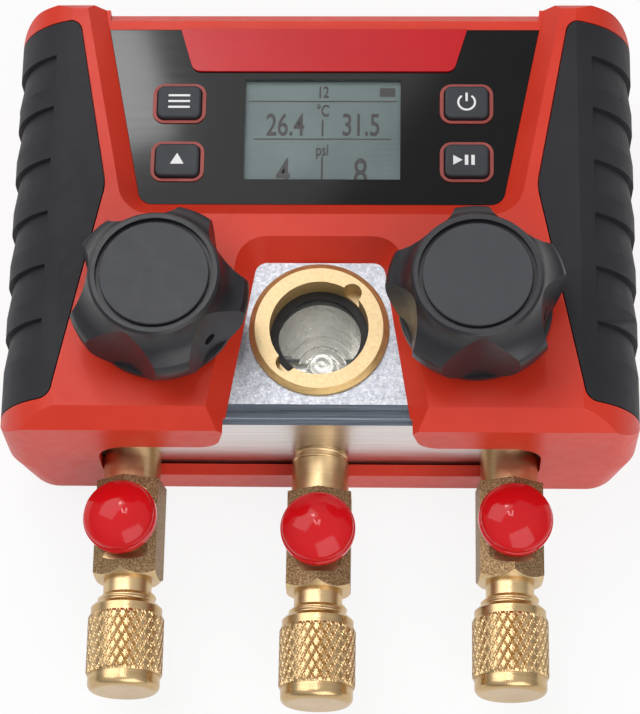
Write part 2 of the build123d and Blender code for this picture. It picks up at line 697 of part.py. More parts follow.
# ---------------------------------------------------------------- sight glass
def make_glass_ring():
    """Brass screw ring with two half-round key notches."""
    low_z = BLOCK_FRONT_Z - GLASS_RING_DEPTH
    ring = screw_post(0, 0, low_z, BLOCK_FRONT_Z, GLASS_BODY_R - RUN_GAP)
    flange = screw_post(0, 0, BLOCK_FRONT_Z, BLOCK_FRONT_Z + GLASS_RING_T, GLASS_FLANGE_R)
    slope = GLASS_FLANGE_R - GLASS_RING_R
    ring += chamfer(flange.edges().sort_by(Axis.Z)[-1], GLASS_RING_T - GLASS_FLANGE_T, slope)
    ring -= screw_post(0, 0, 0, FAR, GLASS_HOLE_R)
    for angle in GLASS_NOTCH_ANGLES:
        place = Rot(0, 0, angle) * Pos(GLASS_HOLE_R, 0, 0)
        ring -= place * screw_post(0, 0, low_z + 1, FAR, GLASS_NOTCH_R)
    return Pos(0, GLASS_Y, 0) * ring


def make_glass_gasket():
    high_z = BLOCK_FRONT_Z - GLASS_RING_DEPTH
    low_z = high_z - GLASS_GASKET_T
    gasket = screw_post(0, GLASS_Y, low_z, high_z, GLASS_BODY_R - RUN_GAP)
    return gasket - screw_post(0, GLASS_Y, 0, FAR, GLASS_GASKET_R)


def make_glass_lens():
    high_z = BLOCK_FRONT_Z - GLASS_RING_DEPTH - GLASS_GASKET_T
    return screw_post(0, GLASS_Y, high_z - GLASS_LENS_T, high_z, GLASS_BODY_R - RUN_GAP)


# ---------------------------------------------------------------- valves and knobs
def make_gland(x):
    """Brass gland nut that guides the valve stem."""
    gland = screw_post(0, 0, GLAND_LOW_Z, BLOCK_FRONT_Z, VALVE_BORE_R - RUN_GAP)
    hexagon = RegularPolygon(GLAND_HEX / 2, 6, major_radius=False)
    gland += between_z(hexagon, BLOCK_FRONT_Z, BLOCK_FRONT_Z + GLAND_HEX_T)
    gland += screw_post(0, 0, BLOCK_FRONT_Z, GLAND_TOP_Z, GLAND_COLLAR_R)
    gland -= screw_post(0, 0, 0, FAR, STEM_R + RUN_GAP)
    return Pos(x, VALVE_Y, 0) * gland


def make_disc(x):
    """Valve disc that is lifted by the stem without turning."""
    low_z = VALVE_SEAT_Z + SEAT_GAP
    disc = screw_post(0, 0, low_z, DISC_TOP_Z, VALVE_BORE_R - RUN_GAP)
    socket_z = DISC_TOP_Z - STEM_IN_DISC - SEAT_GAP
    disc -= screw_post(0, 0, socket_z, FAR, STEM_IN_DISC_R + RUN_GAP)
    return Pos(x, VALVE_Y, 0) * disc


def make_stem(x):
    stem = screw_post(0, 0, DISC_TOP_Z + SEAT_GAP, KNOB_BASE_Z + STEM_TOP_H, STEM_R)
    stem += screw_post(0, 0, DISC_TOP_Z - STEM_IN_DISC, DISC_TOP_Z + 1, STEM_IN_DISC_R)
    return Pos(x, VALVE_Y, 0) * stem


def knob_blank():
    """Turned form of the knob before its finger hollows are cut."""
    ring_h = KNOB_H - 0.5
    base = (KNOB_BASE_R, KNOB_BASE_H)
    waist = (KNOB_BASE_R + 0.3, KNOB_BASE_H + 0.01)
    tip = (KNOB_TIP_R, KNOB_TIP_H)
    shoulder = (KNOB_TIP_R - 0.7, KNOB_TIP_H + 2.6)
    ring = (KNOB_RING_R + 0.3, ring_h)
    bulge = (KNOB_TIP_R - 0.7, KNOB_TIP_H * 0.5)
    saddle = (KNOB_RING_R + 1.75, KNOB_H - 4.0)
    outline = Line((0, 0), (KNOB_BASE_R, 0)) + Line((KNOB_BASE_R, 0), base) + Line(base, waist)
    outline += ThreePointArc(waist, bulge, tip)
    outline += ThreePointArc(tip, (KNOB_TIP_R - 0.15, KNOB_TIP_H + 1.5), shoulder)
    outline += ThreePointArc(shoulder, saddle, ring)
    outline += Line(ring, (KNOB_RING_R - 0.2, KNOB_H))
    outline += Line((KNOB_RING_R - 0.2, KNOB_H), (0, KNOB_H)) + Line((0, KNOB_H), (0, 0))
    return revolve(Plane.XZ * make_face(outline), Axis.Z)


def finger_hollow(angle):
    """Tilted cylinder that cuts one hollow between two lobes."""
    axis_r = KNOB_RING_R + HOLLOW_MARGIN + HOLLOW_R
    tool = Rot(0, -HOLLOW_TILT, 0) * Cylinder(HOLLOW_R, 6 * KNOB_H)
    return Rot(0, 0, angle) * Pos(axis_r, 0, HOLLOW_TOP_H) * tool


def place_knob(solid, x):
    return Pos(x, VALVE_Y, KNOB_BASE_Z) * solid


def make_knob(x, angle):
    """Five-lobed hand knob with a sunk cap and a grub screw in one hollow."""
    knob = knob_blank()
    for index in range(KNOB_LOBES):
        knob -= finger_hollow(360 / KNOB_LOBES * index)
    knob += screw_post(0, 0, 0, KNOB_BASE_H, KNOB_BASE_R)
    knob -= screw_post(0, 0, KNOB_H - KNOB_GROOVE_DEPTH, FAR, KNOB_GROOVE_R)
    knob -= screw_post(0, 0, -1, STEM_TOP_H + SEAT_GAP, STEM_R + RUN_GAP)
    hole = Pos(FAR / 2, 0, GRUB_H) * Cylinder(GRUB_R, FAR, rotation=(0, 90, 0))
    knob -= hole
    return place_knob(Rot(0, 0, angle) * knob, x)


def make_knob_cap(x):
    low_h = KNOB_H - KNOB_GROOVE_DEPTH
    cap = screw_post(0, 0, low_h, low_h + KNOB_CAP_T, KNOB_CAP_R)
    cap = chamfer(cap.edges().sort_by(Axis.Z)[-1], KNOB_CAP_T * 0.15)
    return place_knob(cap, x)


def make_grub(x, angle):
    start = STEM_R + RUN_GAP
    grub = Pos(0, 0, start + GRUB_LENGTH / 2) * Cylinder(GRUB_R - RUN_GAP, GRUB_LENGTH)
    grub -= Pos(0, 0, start + GRUB_LENGTH) * Cylinder(GRUB_R * 0.5, GRUB_LENGTH / 2)
    return place_knob(Rot(0, 0, angle) * Pos(0, 0, GRUB_H) * Rot(0, 90, 0) * grub, x)


# ---------------------------------------------------------------- ports
def port_place(index):
    """Location of a fitting: its local +Z runs out of the port, along -Y."""
    standoff = CENTRE_STANDOFF if index == 1 else 0
    x = (index - 1) * PORT_PITCH
    turn = Rot(0, 0, PORT_ROLLS[index])
    return Pos(x, BLOCK_BOTTOM_Y - standoff, PORT_Z) * Rot(90, 0, 0) * turn


def disc_between(low, high, radius):
    return Pos(0, 0, (low + high) / 2) * Cylinder(radius, high - low)


def branch_cylinder(low, high, radius):
    """Cylinder along the branch stub, measured from the port axis towards the front."""
    return Pos(0, (low + high) / 2, STUB_ALONG) * Cylinder(radius, high - low, rotation=(90, 0, 0))


def make_fitting(index):
    """Brass fitting: tube, hexagon, flare end and a branch stub on one hexagon edge."""
    hexagon = Rot(0, 0, 30) * RegularPolygon(HEX_FLATS / 2, 6, major_radius=False)
    body = between_z(hexagon, TUBE_LENGTH, HEX_END)
    rounding = disc_between(TUBE_LENGTH, HEX_END, HEX_FLATS / 2 / math.cos(math.pi / 6))
    body &= chamfer(rounding.edges().sort_by(Axis.Z)[-1], HEX_EDGE)
    body -= branch_cylinder(SPOTFACE_Z, FAR, SPOTFACE_R)
    thread = disc_between(THREAD_START, THREAD_END, THREAD_R)
    thread = chamfer(thread.edges().sort_by(Axis.Z)[-1], FLARE_SEAT)
    thread = chamfer(thread.edges().sort_by(Axis.Z)[0], THREAD_R - NECK_R)
    fitting = body + thread + disc_between(-TUBE_IN_BLOCK, 1, TUBE_THREAD_R)
    fitting += disc_between(0, TUBE_LENGTH + 1, TUBE_R)
    fitting += disc_between(HEX_END - 1, THREAD_START, NECK_R)
    fitting += branch_cylinder(SPOTFACE_Z - 1, STUB_TOP_Z, STUB_R)
    fitting -= disc_between(-FAR / 2, FAR / 2, PORT_BORE_R)
    fitting -= branch_cylinder(0, STUB_TOP_Z + 1, PORT_BORE_R)
    return port_place(index) * fitting


def make_valve_cores():
    """Depressor cores inside the branch stubs."""
    core = branch_cylinder(CORE_LOW_Z, STUB_TOP_Z - 1, PORT_BORE_R - RUN_GAP)
    return Compound([port_place(index) * core for index in range(len(PORT_NAMES))])


def make_dust_cap(index):
    """Soft plastic cap pushed over the branch stub."""
    outline = Line((0, DUST_CAP_LOW_Z), (DUST_CAP_BASE_R, DUST_CAP_LOW_Z))
    rim_z = DUST_CAP_LOW_Z + DUST_CAP_RIM
    outline += Line((DUST_CAP_BASE_R, DUST_CAP_LOW_Z), (DUST_CAP_BASE_R, rim_z))
    outline += Line((DUST_CAP_BASE_R, rim_z), (DUST_CAP_R, rim_z + 0.2))
    side_z = DUST_CAP_LOW_Z + (DUST_CAP_TOP_Z - DUST_CAP_LOW_Z) * 0.45
    outline += Line((DUST_CAP_R, rim_z + 0.2), (DUST_CAP_R, side_z))
    dome_h = DUST_CAP_TOP_Z - side_z
    dome_r = (DUST_CAP_R ** 2 + dome_h ** 2) / (2 * dome_h)
    outline += RadiusArc((DUST_CAP_R, side_z), (0, DUST_CAP_TOP_Z), -dome_r)
    outline += Line((0, DUST_CAP_TOP_Z), (0, DUST_CAP_LOW_Z))
    cap = revolve(Plane.XZ * make_face(outline), Axis.Z)
    rims = [edge for edge in cap.edges() if edge.is_closed]
    cap = fillet(sorted(rims, key=lambda edge: edge.center().Z)[-1], DUST_CAP_ROUND)
    cap -= disc_between(0, STUB_TOP_Z + SLIDE_GAP, STUB_R + SLIDE_GAP)
    return port_place(index) * Pos(0, 0, STUB_ALONG) * Rot(-90, 0, 0) * cap


def make_hose_cap(index):
    """Knurled brass cap screwed over the flare thread."""
    ring_end = CAP_START + CAP_RING_LENGTH
    knurl_end = ring_end + CAP_KNURL_LENGTH
    ring = disc_between(CAP_START, ring_end, CAP_RING_R)
    ring = chamfer(ring.edges().sort_by(Axis.Z)[0], CAP_RING_CHAMFER)
    foot = disc_between(knurl_end, CAP_END, CAP_END_R)
    foot = fillet(foot.edges().sort_by(Axis.Z)[-1], CAP_END_ROUND)
    cap = ring + foot + disc_between(ring_end, knurl_end, CAP_KNURL_R)
    cap -= disc_between(CAP_START - 1, CAP_END - CAP_FLOOR_T, THREAD_R + RUN_GAP)
    return port_place(index) * cap


def make_cap_seal(index):
    """Rubber disc in the floor of the hose cap, pressed on the flare."""
    seal = disc_between(CAP_SEAL_END - CAP_SEAL_T, CAP_SEAL_END, THREAD_R - SEAT_GAP)
    return port_place(index) * seal


# ---------------------------------------------------------------- batteries and back
def make_cells():
    """Four cells; neighbours in a row point the same way."""
    cells = []
    body_length = CELL_LENGTH - CELL_TIP
    body = Pos(-CELL_TIP / 2, 0, 0) * Cylinder(CELL_R, body_length, rotation=(0, 90, 0))
    tip = Pos(body_length / 2, 0, 0) * Cylinder(CELL_TIP_R, CELL_TIP, rotation=(0, 90, 0))
    for x, y in cell_places():
        cells.append(Pos(x, y, CELL_Z) * (body + tip))
    return cells


def make_contacts():
    """Contact plates at both ends of the battery bay."""
    inner_x = CELL_SPLIT / 2 + CELL_LENGTH + 2 * CELL_GAP
    plates = []
    for side in (-1, 1):
        for y in CELL_ROWS_Y:
            plate = Box(CONTACT_T, CELL_R * 1.5, CELL_R * 1.6)
            plates.append(Pos(side * (inner_x + CONTACT_T / 2), y, CELL_Z) * plate)
    return Compound(plates)


def door_outline(extra):
    return bay_outline(DOOR_MARGIN + extra)


def door_screw_place():
    return 0, (CELL_ROWS_Y[0] + CELL_ROWS_Y[1]) / 2


def make_door():
    """Battery door with a countersunk hole for its screw."""
    door = between_z(door_outline(-SLIDE_GAP), 0, DOOR_T - SEAT_GAP)
    x, y = door_screw_place()
    door -= screw_post(x, y, -1, DOOR_T, SCREW_R + SEAT_GAP)
    return door - screw_post(x, y, -1, DOOR_SCREW_HEAD_T + SEAT_GAP, SCREW_HEAD_R + SEAT_GAP)


def make_door_screw():
    x, y = door_screw_place()
    return screw(x, y, SEAT_GAP, DOOR_SCREW_TIP_Z, DOOR_SCREW_HEAD_T)


def make_hook():
    plate = between_z(hook_outline(0), HOOK_Z, HOOK_Z + HOOK_T)
    plate -= screw_post(0, 0, HOOK_Z - 1, HOOK_Z + HOOK_SINK, SCREW_HEAD_R + SLIDE_GAP)
    return Pos(0, HOOK_PIVOT_Y, 0) * plate


def make_hook_screw():
    pin = screw_post(0, HOOK_PIVOT_Y, HOOK_Z, HOOK_Z + HOOK_SINK - RUN_GAP, SCREW_HEAD_R)
    return pin + screw_post(0, HOOK_PIVOT_Y, HOOK_Z, HOOK_DEPTH_Z - 0.6, HOOK_SCREW_R - RUN_GAP)


def screw(x, y, head_z, tip_z, head_t=SCREW_HEAD_T):
    """Screw put in from the back, with a cross recess."""
    body = screw_post(x, y, head_z, head_z + head_t, SCREW_HEAD_R)
    body += screw_post(x, y, head_z, tip_z, SCREW_R)
    slot = Pos(x, y, head_z) * Box(SCREW_HEAD_R * 1.2, 0.6, 1.2)
    cross = Pos(x, y, head_z) * Box(0.6, SCREW_HEAD_R * 1.2, 1.2)
    return body - slot - cross


def make_housing_screws():
    screws = [screw(x, y, 0.4, SCREW_TIP_Z) for x, y in SCREW_POSITIONS]
    tip_z = BLOCK_LOW_Z + SCREW_IN_BLOCK - 1
    screws += [screw(x, BLOCK_SCREW_Y, 0.4, tip_z) for x in (-BLOCK_SCREW_X, BLOCK_SCREW_X)]
    return Compound(screws)


# ---------------------------------------------------------------- write all parts
SIDES = {"left": -1, "right": 1}
KNOB_ANGLES = {"left": KNOB_LEFT_ANGLE, "right": KNOB_RIGHT_ANGLE}

export(make_front_shell(), "front_shell")
export(make_rear_shell(), "rear_shell")
export(make_panel(), "display_panel")
export(make_window_pane(), "lcd_window")
export(make_name_plate(), "name_plate")
export(make_key_bezels(), "key_bezels")
export(make_lcd(), "lcd_module")
export(make_board(), "circuit_board")
export(make_switches(), "key_switches")
export(make_block(), "manifold_block")
export(make_sensors(), "pressure_sensors")
export(make_glass_ring(), "sight_glass_ring")
export(make_glass_gasket(), "sight_glass_gasket")
export(make_glass_lens(), "sight_glass_lens")
export(make_valve_cores(), "stub_valve_cores")
export(make_contacts(), "battery_contacts")
export(make_door(), "battery_door")
export(make_door_screw(), "battery_door_screw")
export(make_hook(), "hanging_hook")
export(make_hook_screw(), "hook_pivot_screw")
export(make_housing_screws(), "housing_screws")

for side_name, side in SIDES.items():
    knob_angle = KNOB_ANGLES[side_name]
    export(make_grip(side), f"grip_{side_name}")
    export(make_gland(side * VALVE_X), f"valve_gland_{side_name}")
    export(make_disc(side * VALVE_X), f"valve_disc_{side_name}")
    export(make_stem(side * VALVE_X), f"valve_stem_{side_name}")
    export(make_knob(side * VALVE_X, knob_angle), f"knob_{side_name}")
    export(make_knob_cap(side * VALVE_X), f"knob_cap_{side_name}")
    export(make_grub(side * VALVE_X, knob_angle), f"knob_grub_screw_{side_name}")
    for row_name, row_y in KEY_ROWS.items():
        export(make_key(side * KEY_X, row_y), f"key_{row_name}_{side_name}")

for port_index, port_name in enumerate(PORT_NAMES):
    export(make_fitting(port_index), f"port_fitting_{port_name}")
    export(make_hose_cap(port_index), f"hose_cap_{port_name}")
    export(make_cap_seal(port_index), f"hose_cap_seal_{port_name}")
    export(make_dust_cap(port_index), f"dust_cap_{port_name}")

for cell_number, cell in enumerate(make_cells(), start=1):
    export(cell, f"battery_{cell_number}")
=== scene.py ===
"""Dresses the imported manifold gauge: camera, light, finishes, and forms that the CAD leaves out.

Lengths are millimetres in the frame of the CAD (X right, Y up the device, Z out of its front).
Angles are degrees, and colours are sRGB triples from 0 to 255.
"""
import json
import math

import bmesh
import bpy
from mathutils import Matrix, Quaternion, Vector


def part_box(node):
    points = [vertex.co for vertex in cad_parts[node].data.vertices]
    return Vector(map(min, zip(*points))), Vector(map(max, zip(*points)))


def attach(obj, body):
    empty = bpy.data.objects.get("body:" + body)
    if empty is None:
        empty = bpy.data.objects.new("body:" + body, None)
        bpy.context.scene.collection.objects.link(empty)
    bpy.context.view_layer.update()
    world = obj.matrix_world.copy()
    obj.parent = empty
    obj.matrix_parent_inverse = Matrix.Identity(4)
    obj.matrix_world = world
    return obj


MM = 0.001
SIDES = ("left", "right")
PORTS = ("left", "centre", "right")
WHITE = (255, 255, 255)

# ---------------------------------------------------------------- camera
CAMERA_AT = Vector((17.985, -197.168, 530.559))
CAMERA_ELEVATION = 69.03
CAMERA_YAW = 1.909
CAMERA_ROLL = -0.275
CAMERA_LENS = 136.2
SENSOR_WIDTH = 36

# ---------------------------------------------------------------- light
AMBIENT = 0.4
WORLD_RISE = (0.1, 0.7, 0.32, 0.8)   # Z of a direction from and to, and its white from and to
FLOOR_GLOW = 0.86                    # share of plain white in what the camera sees of the floor
FLOOR_COLOUR = (242, 242, 242)
FLOOR_HALF = 4000
FLOOR_Z = -0.3
LAMPS = (                            # name, place, target, size, power in watts
    ("key", (-450, 350, 750), (0, 10, 20), (900, 700), 3.9),
    ("fill", (250, -480, 420), (0, 0, 20), (600, 500), 2.0),
    ("window", (-128, 334, 600), (-40, 50, 36), (72, 62), 0.22),
    ("strip_left", (-62, 110, 600), (0, -36, 27), (30, 140), 0.15),
    ("strip_right", (22, 110, 600), (0, -36, 27), (30, 140), 0.15),
)

# ---------------------------------------------------------------- textures
NOISE_SPAN = (0.3, 0.7)         # a noise stays mostly between these values
WAVE_PERIOD = math.tau / 20     # length of one ring of a wave texture at scale 1
BORE_RING_PITCH = 1.57834       # turned rings at the bottom of the sight glass bore
RANGE_SOCKETS = ("From Min", "From Max", "To Min", "To Max")

# ---------------------------------------------------------------- knurl of the hose caps
KNURL_STARTS = 28
KNURL_STEPS = 6          # mesh steps across one diamond
KNURL_GROOVE = 0.17      # half width of a groove in pitches
KNURL_HEIGHT = 0.26
KNURL_ANGLE = 28         # between a groove and the port axis
KNURL_FOOT = 3.15        # plain length at the cap's closed end
KNURL_TOP = 2.45         # plain length at its open end

# ---------------------------------------------------------------- threads
THREAD_PITCH = 1.27
THREAD_FOOT = 0.36       # half width of the ridge in pitches
THREAD_CREST = 0.25      # width of its crest as a share of the foot
THREAD_SINK = 0.08       # depth of its foot below the root
THREAD_STEPS = 40        # mesh steps in one turn
THREAD_FADE = 8          # the ridge rises over one part in eight of its length at each end
FLARE_ROOT_R = 5.5
FLARE_HEIGHT = 0.32
COVERED_ROOT_R = 5.52    # the covered thread stays low, to clear the bore of the cap
COVERED_HEIGHT = 0.1
PORT_ROOT_R = 5.2
PORT_HEIGHT = 0.45

# ---------------------------------------------------------------- faces with a finish of their own, or with painted shade
HEX_LOW_R = 5.9          # distances from the port axis that hold the flats of the hexagon
HEX_HIGH_R = 8.0
SLIVER_HALF_X = 17       # thin strip of the front shell across the port window, painted dark as painted shade
SLIVER_HIGH_Y = -15
SLIVER_LOW_Z = 24

# ---------------------------------------------------------------- print
PRINT_T = 0.04
LCD_LIFT = 0.02          # gaps between a surface and the print on it
KEY_LIFT = 0.005
TEXT_SIZE = 1.4          # font size over the height of a figure
TEXT_SQUEEZE = 0.66
TEXT_BOLD = 0.09
LINE_W = 0.3
STATUS_DROP = 4.5        # the display's lines, below the upper edge of the window
MIDDLE_DROP = 13.0

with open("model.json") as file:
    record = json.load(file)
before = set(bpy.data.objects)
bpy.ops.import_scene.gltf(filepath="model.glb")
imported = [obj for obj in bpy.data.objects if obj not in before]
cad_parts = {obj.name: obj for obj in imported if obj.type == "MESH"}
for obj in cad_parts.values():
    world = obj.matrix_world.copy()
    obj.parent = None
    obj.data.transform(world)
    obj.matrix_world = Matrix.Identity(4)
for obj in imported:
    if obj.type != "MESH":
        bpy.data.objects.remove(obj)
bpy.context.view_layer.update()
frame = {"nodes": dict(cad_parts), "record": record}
nodes = frame["nodes"]


def box_mm(node):
    """Low and high corners of a CAD node in mm."""
    low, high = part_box(node)
    return low / MM, high / MM


def port_axis(port):
    """Middle of the hose cap, which lies on the axis of its port."""
    low, high = box_mm(f"hose_cap_{port}")
    return (low + high) / 2


# ---------------------------------------------------------------- materials
def linear(rgb):
    """Linear colour of an sRGB triple."""
    values = [c / 255 for c in rgb]
    return [c / 12.92 if c <= 0.04045 else ((c + 0.055) / 1.055) ** 2.4 for c in values] + [1.0]


def set_range(node, numbers):
    """Sets a Map Range node to (from min, from max, to min, to max)."""
    for socket, number in zip(RANGE_SOCKETS, numbers):
        node.inputs[socket].default_value = number


class Look:
    """A Principled material with short calls for its texture nodes."""

    def __init__(self, name, colour, roughness, metallic=0.0, specular=0.5, alpha=1.0):
        self.material = bpy.data.materials.new(name)
        self.material.use_nodes = True
        self.tree = self.material.node_tree
        self.shader = self.tree.nodes["Principled BSDF"]
        for socket, value in (("Base Color", linear(colour)), ("Roughness", roughness),
                              ("Metallic", metallic), ("Specular IOR Level", specular),
                              ("Alpha", alpha)):
            self.shader.inputs[socket].default_value = value
        self.position = self.tree.nodes.new("ShaderNodeTexCoord").outputs["Object"]

    def node(self, kind, **values):
        made = self.tree.nodes.new(kind)
        for key, value in values.items():
            setattr(made, key, value)
        return made

    def link(self, output, target):
        self.tree.links.new(output, target)

    def stretched(self, scale):
        """Object coordinates multiplied by a scale per axis, in 1/mm."""
        mapping = self.node("ShaderNodeMapping")
        mapping.inputs["Scale"].default_value = [s / MM for s in scale]
        self.link(self.position, mapping.inputs["Vector"])
        return mapping.outputs["Vector"]

    def noise(self, scale, detail=3.0, roughness=0.55):
        """Noise with one scale or a scale per axis, in 1/mm."""
        scale = scale if isinstance(scale, tuple) else (scale,) * 3
        noise = self.node("ShaderNodeTexNoise")
        noise.inputs["Scale"].default_value = 1.0
        noise.inputs["Detail"].default_value = detail
        noise.inputs["Roughness"].default_value = roughness
        self.link(self.stretched(scale), noise.inputs["Vector"])
        return noise.outputs["Fac"]

    def rings(self, centre, pitch):
        """Rings round an axis along Z."""
        mapping = self.node("ShaderNodeMapping")
        mapping.inputs["Location"].default_value = [-c * MM for c in centre]
        self.link(self.position, mapping.inputs["Vector"])
        wave = self.node("ShaderNodeTexWave", wave_type="RINGS", rings_direction="Z")
        wave.inputs["Scale"].default_value = WAVE_PERIOD / (pitch * MM)
        wave.inputs["Distortion"].default_value = 0.0
        self.link(mapping.outputs["Vector"], wave.inputs["Vector"])
        return wave.outputs["Fac"]

    def colours(self, value, stops):
        """Base colour from a ramp over stops (position, colour)."""
        ramp = self.node("ShaderNodeValToRGB")
        elements = ramp.color_ramp.elements
        while len(elements) < len(stops):
            elements.new(0.5)
        for element, (place, colour) in zip(elements, stops):
            element.position = place
            element.color = linear(colour)
        self.link(value, ramp.inputs["Fac"])
        self.link(ramp.outputs["Color"], self.shader.inputs["Base Color"])

    def two_tones(self, value, darker, colour):
        """Base colour that goes from darker to colour with a noise."""
        self.colours(value, list(zip(NOISE_SPAN, (darker, colour))))

    def rough(self, value, low, high):
        """Roughness that goes from low to high with a noise."""
        ranged = self.node("ShaderNodeMapRange")
        self.link(value, ranged.inputs["Value"])
        set_range(ranged, (*NOISE_SPAN, low, high))
        self.link(ranged.outputs["Result"], self.shader.inputs["Roughness"])

    def bump(self, value, depth):
        """Bump of some depth in mm, on top of the bumps before it."""
        bump = self.node("ShaderNodeBump")
        bump.inputs["Strength"].default_value = 1.0
        bump.inputs["Distance"].default_value = depth * MM
        normal = self.shader.inputs["Normal"]
        self.link(value, bump.inputs["Height"])
        if normal.is_linked:
            self.link(normal.links[0].from_socket, bump.inputs["Normal"])
        self.link(bump.outputs["Normal"], normal)


def moulded(name, colour, darker, roughness, grain_size, grain_depth, specular=0.5):
    """Moulded plastic with a fine grain and a slight change of tone."""
    look = Look(name, colour, roughness, specular=specular)
    look.two_tones(look.noise(0.06, 2.0), darker, colour)
    grain = look.noise(1 / grain_size, 2.0)
    look.rough(look.noise(0.4, 3.0), roughness - 0.04, roughness + 0.05)
    look.bump(grain, grain_depth)
    return look.material


def polished_black():
    """Smooth black front panel with faint wipe marks in its gloss."""
    look = Look("panel_black", (11, 11, 13), 0.08, specular=0.2)
    look.two_tones(look.noise(0.1, 2.0), (9, 9, 11), (13, 13, 15))
    look.rough(look.noise((0.05, 0.9, 0.05), 2.0), 0.07, 0.09)
    return look.material


def turned_brass(name, colour, darker, roughness):
    """Brass turned on a lathe, with fine rings square to the port axis."""
    look = Look(name, colour, roughness, 1.0)
    look.two_tones(look.noise((0.12, 1.2, 0.12)), darker, colour)
    look.rough(look.noise((0.1, 0.8, 0.1)), roughness - 0.03, roughness + 0.05)
    look.bump(look.noise((0.05, 7.0, 0.05), 2.0), 0.006)
    return look.material


def cast_brass():
    """Rough, darker brass of the forged hexagon."""
    look = Look("cast_brass", (144, 118, 86), 0.5, 0.85)
    look.colours(look.noise(3.2, 3.0),
                 [(0.34, (104, 78, 50)), (0.52, (150, 122, 88)), (0.7, (196, 168, 128))])
    look.rough(look.noise(2.0), 0.42, 0.6)
    look.bump(look.noise(2.6, 2.0), 0.05)
    return look.material


def satin_brass():
    """Turned edge of the sight glass ring."""
    look = Look("satin_brass", (196, 164, 108), 0.42, 0.55)
    look.two_tones(look.noise((0.4, 0.4, 3.0)), (178, 146, 92), (204, 172, 116))
    look.rough(look.noise(1.6), 0.36, 0.46)
    return look.material


def faced_brass():
    """Bead-blasted face of the sight glass ring."""
    look = Look("faced_brass", (192, 168, 128), 0.36, 1.0)
    look.two_tones(look.noise(1.6, 4.0), (176, 152, 114), (194, 172, 134))
    look.rough(look.noise(1.6), 0.3, 0.42)
    look.bump(look.noise(5.0, 3.0), 0.015)
    return look.material


def milled_aluminium():
    """Blasted and milled face of the block: mottled spots with short scratches."""
    look = Look("milled_aluminium", (190, 194, 202), 0.4, 1.0)
    look.colours(look.noise(1.8, 6.0, 0.75),
                 [(0.32, (136, 140, 150)), (0.5, (168, 170, 177)), (0.66, (200, 201, 203))])
    look.rough(look.noise((1.5, 0.8, 1.5), 4.0), 0.34, 0.5)
    look.bump(look.noise(2.6, 4.0), 0.03)
    look.bump(look.noise((0.4, 5.0, 0.4), 2.0), 0.015)
    return look.material


def sawn_aluminium(name, colour, darker):
    """Brushed side of the block with fine lines along X. The colours come from the caller: a
    lighter copy holds a painted reflection on the lower face, and a dark copy holds painted shade
    on the chamfer.
    """
    look = Look(name, colour, 0.36, 1.0)
    look.two_tones(look.noise((0.05, 3.0, 3.0), 3.0), darker, colour)
    look.rough(look.noise((0.08, 2.0, 2.0)), 0.28, 0.42)
    look.bump(look.noise((0.06, 6.0, 6.0), 2.0), 0.015)
    return look.material


def turned_aluminium(centre):
    """Bright turned bottom of the sight glass bore."""
    look = Look("turned_aluminium", (226, 224, 218), 0.24, 1.0)
    look.two_tones(look.noise(0.5, 2.0), (212, 210, 202), (230, 228, 222))
    look.rough(look.noise(0.6), 0.2, 0.28)
    look.bump(look.rings(centre, BORE_RING_PITCH), 0.03)
    return look.material


def clear_glass(name, tint, roughness, density):
    """Thin clear sheet that lets light through and keeps a weak gloss."""
    look = Look(name, tint, roughness, alpha=density)
    look.bump(look.noise(0.05, 1.0), 0.002)
    return look.material


def steel(name, colour):
    """Plain steel with a slight change of tone and gloss."""
    look = Look(name, colour, 0.3, 1.0)
    look.two_tones(look.noise(0.8), tuple(c - 26 for c in colour), colour)
    look.rough(look.noise(2.0), 0.24, 0.4)
    return look.material


def lcd_glass():
    """Grey-green back of the reflective display."""
    look = Look("lcd_glass", (122, 140, 140), 0.35)
    look.colours(look.noise(0.08, 2.0), [(0.35, (116, 134, 134)), (0.65, (128, 146, 146))])
    look.rough(look.noise(0.5), 0.3, 0.4)
    return look.material


red_plastic = moulded("red_plastic", (214, 56, 34), (206, 49, 28), 0.38, 0.22, 0.012, 0.3)
rubber = moulded("grip_rubber", (44, 44, 48), (37, 37, 41), 0.55, 0.16, 0.02, 0.2)
panel_black = polished_black()
plate_red = moulded("plate_red", (194, 16, 26), (187, 12, 22), 0.22, 1.0, 0.0, 0.25)
bezel_red = moulded("bezel_red", (158, 60, 50), (142, 50, 42), 0.45, 0.2, 0.01)
key_rubber = moulded("key_rubber", (52, 54, 59), (46, 48, 53), 0.5, 0.12, 0.012, 0.3)
knob_black = moulded("knob_black", (36, 36, 40), (31, 31, 35), 0.34, 0.18, 0.008, 0.4)
cap_grey = moulded("knob_cap_grey", (60, 61, 65), (55, 56, 60), 0.5, 0.14, 0.014, 0.35)
dust_red = moulded("dust_cap_red", (210, 18, 26), (202, 12, 20), 0.1, 2.0, 0.0, 0.3)
gasket = moulded("gasket_black", (26, 26, 28), (16, 16, 18), 0.6, 0.5, 0.05)
hook_black = moulded("hook_black", (36, 37, 39), (30, 31, 33), 0.5, 0.3, 0.02)
board_green = moulded("board_green", (24, 96, 52), (18, 84, 44), 0.4, 0.5, 0.01)
jacket = moulded("battery_jacket", (44, 50, 58), (36, 42, 50), 0.3, 1.0, 0.002)
seal_white = moulded("disc_seal", (228, 226, 218), (218, 216, 208), 0.5, 0.4, 0.01)
brass_turned = turned_brass("brass_turned", (216, 188, 144), (204, 174, 130), 0.32)
brass_cap = turned_brass("brass_cap", (206, 177, 133), (190, 160, 116), 0.26)
brass_cast = cast_brass()
brass_face = faced_brass()
brass_edge = satin_brass()
alu_milled = milled_aluminium()
# lighter copy of the brushed aluminium for the block's lower face: the brushing is its own finish,
# and its light base colour is partly a painted reflection of the bright floor
alu_side_painted_reflection = sawn_aluminium("aluminium_side_painted_reflection", (236, 232, 230), (214, 210, 208))
